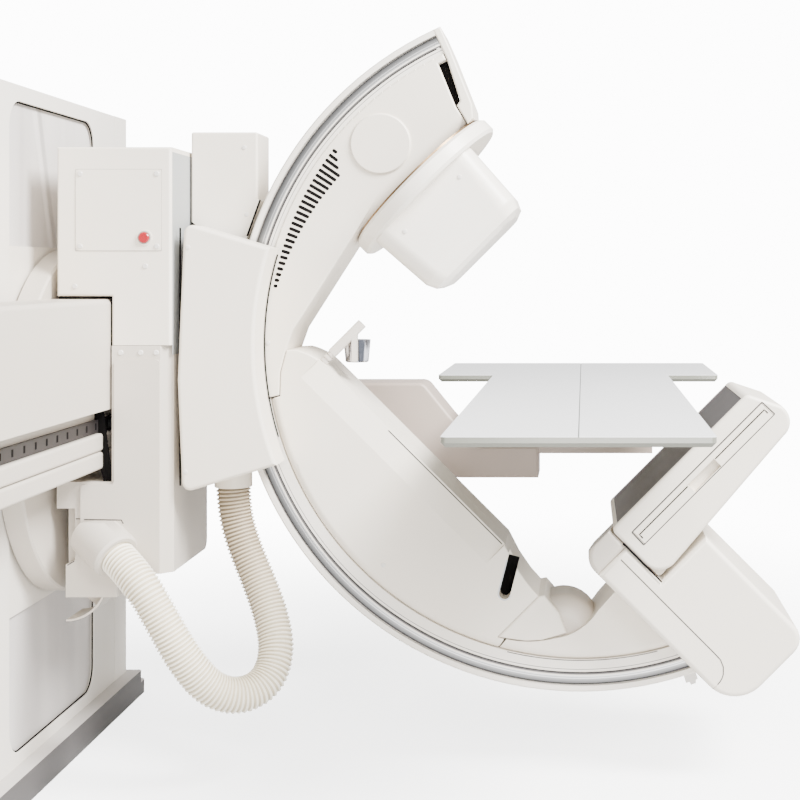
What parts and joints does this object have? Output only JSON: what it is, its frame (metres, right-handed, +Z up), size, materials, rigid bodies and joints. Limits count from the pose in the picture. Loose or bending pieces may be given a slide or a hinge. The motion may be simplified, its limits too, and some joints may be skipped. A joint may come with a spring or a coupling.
{
  "type": "c-arm x-ray system",
  "caption": "Floor-standing X-ray system: a lift stand with a tilting beam, a sliding carriage and a C-shaped arm with tube housing, detector and patient table",
  "frame": {"origin": "middle of the base plate's underside, at the centre of the floor anchor holes", "axes": "+X from the stand to the patient table, +Y along the table away from the viewer, +Z up"},
  "size_m": [2.6921, 2.924, 1.9769],
  "materials": {
    "stand_white": "semi-gloss powder coat",
    "base_grey": "satin powder coat",
    "frame_dark": "satin paint",
    "guide_steel": "ground",
    "track_steel": "fine ground",
    "ballast_iron": "rough cast, painted",
    "blind_grey": "matt",
    "cast_white": "painted semi-gloss",
    "beam_white": "painted semi-gloss",
    "rack_dark": "blackened",
    "rail_white": "painted semi-gloss",
    "cover_white": "satin moulded",
    "inner_metal": "as machined",
    "table_white": "satin laminate with a grey-green edge",
    "button_red": "gloss",
    "screw_white": "painted",
    "hose_cream": "satin, ribbed",
    "collimator_white": "satin moulded",
    "bearing_brass": "turned",
    "grid_grey": "satin",
    "tray_white": "painted",
    "cup_chrome": "polished",
    "press_white": "gloss",
    "roller_black": "matt"
  },
  "bodies": {
    "stand": {"base_plate": "base_grey", "stand_housing": "stand_white", "stand_front_panel": "stand_white", "upper_blind": "blind_grey", "lower_blind": "blind_grey", "upright_frame": "frame_dark", "lift_guide_rails": "guide_steel", "lift_drive": "guide_steel", "counterweight": "ballast_iron"},
    "lift": {"lift_saddle": "cast_white", "tilt_bearing": "guide_steel"},
    "tilt_frame": {"tilt_disc": "cast_white", "longitudinal_beam": "beam_white", "beam_cover": "cover_white", "drive_rack": "rack_dark", "beam_rails": "rail_white", "table_arm": "cast_white"},
    "table_cross": {"cross_slide": "cast_white"},
    "table": {"table_top": "table_white"},
    "carriage": {"carriage_frame": "inner_metal", "carriage_upper_cover": "cover_white", "access_panel": "cover_white", "carriage_lower_cover": "cover_white", "carriage_rollers": "roller_black", "hose_collar": "cover_white", "lower_guard": "cover_white", "cover_screws": "screw_white", "cable_hose": "hose_cream"},
    "button": {"stop_button": "button_red"},
    "holder": {"holder_core": "inner_metal", "holder_front_cover": "cover_white", "holder_rear_cover": "cover_white", "drive_tower_cover": "cover_white", "pivot_flange": "guide_steel", "guide_rollers": "roller_black", "hose_socket": "cover_white"},
    "c_arm": {"c_beam": "cast_white", "c_tracks": "track_steel", "upper_cover_front": "cover_white", "upper_cover_rear": "cover_white", "tube_caps": "cover_white", "xray_tube": "inner_metal", "collimator_bearing": "bearing_brass", "arm_end_plate": "cover_white", "chord_cover_front": "cover_white", "chord_cover_rear": "cover_white", "corner_cover": "cover_white", "dome_cap": "cover_white", "lower_inner_cover": "cover_white", "end_stop": "roller_black", "detector_column": "cover_white", "column_side_cover": "cover_white", "column_top_cap": "cover_white"},
    "collimator": {"collimator_flange": "collimator_white", "collimator_hood": "collimator_white"},
    "detector": {"detector_box": "cover_white", "grid_face": "grid_grey"},
    "tray": {"cassette_tray": "tray_white"},
    "press": {"compression_arm": "press_white", "compression_cup": "cup_chrome"}
  },
  "joints": [
    {"name": "lift_slide", "type": "slide", "parent": "stand", "child": "lift", "axis": [0, 0, 1], "range_m": [-0.15, 0.25], "deforming": ["upper_blind", "lower_blind"]},
    {"name": "tilt_pivot", "type": "hinge", "parent": "lift", "child": "tilt_frame", "pos_m": [0.389, 0, 0.925], "axis": [1, 0, 0], "range_deg": [-20, 45]},
    {"name": "table_cross_slide", "type": "slide", "parent": "tilt_frame", "child": "table_cross", "axis": [1, 0, 0], "range_m": [-0.1, 0.04]},
    {"name": "table_slide", "type": "slide", "parent": "table_cross", "child": "table", "axis": [0, 1, 0], "range_m": [-0.1, 0.3]},
    {"name": "carriage_slide", "type": "slide", "parent": "tilt_frame", "child": "carriage", "axis": [0, 1, 0], "range_m": [-0.45, 0.1]},
    {"name": "stop_press", "type": "slide", "parent": "carriage", "child": "button", "axis": [0, 1, 0], "range_m": [0, 0.004], "stiffness_N_per_m": 1500, "springref_m": -0.004},
    {"name": "roll_pivot", "type": "hinge", "parent": "carriage", "child": "holder", "pos_m": [1.752, 0, 1.133], "axis": [-1, 0, 0], "range_deg": [-10, 10], "deforming": ["cable_hose"]},
    {"name": "orbit_slide", "type": "hinge", "parent": "holder", "child": "c_arm", "pos_m": [1.752, 0, 1.133], "axis": [0, 1, 0], "range_deg": [-30, 50]},
    {"name": "collimator_turn", "type": "hinge", "parent": "c_arm", "child": "collimator", "pos_m": [1.31288, 0, 1.57212], "axis": [0.7071, 0, -0.7071], "range_deg": [-45, 45]},
    {"name": "detector_slide", "type": "slide", "parent": "c_arm", "child": "detector", "axis": [0.7071, 0, -0.7071], "range_m": [-0.03, 0]},
    {"name": "tray_slide", "type": "slide", "parent": "detector", "child": "tray", "axis": [0, -1, 0], "range_m": [0, 0.35]},
    {"name": "press_turn", "type": "hinge", "parent": "c_arm", "child": "press", "pos_m": [1.06469, -0.09, 1.08492], "axis": [0.7071, 0, 0.7071], "range_deg": [-20, 70]}
  ]
}
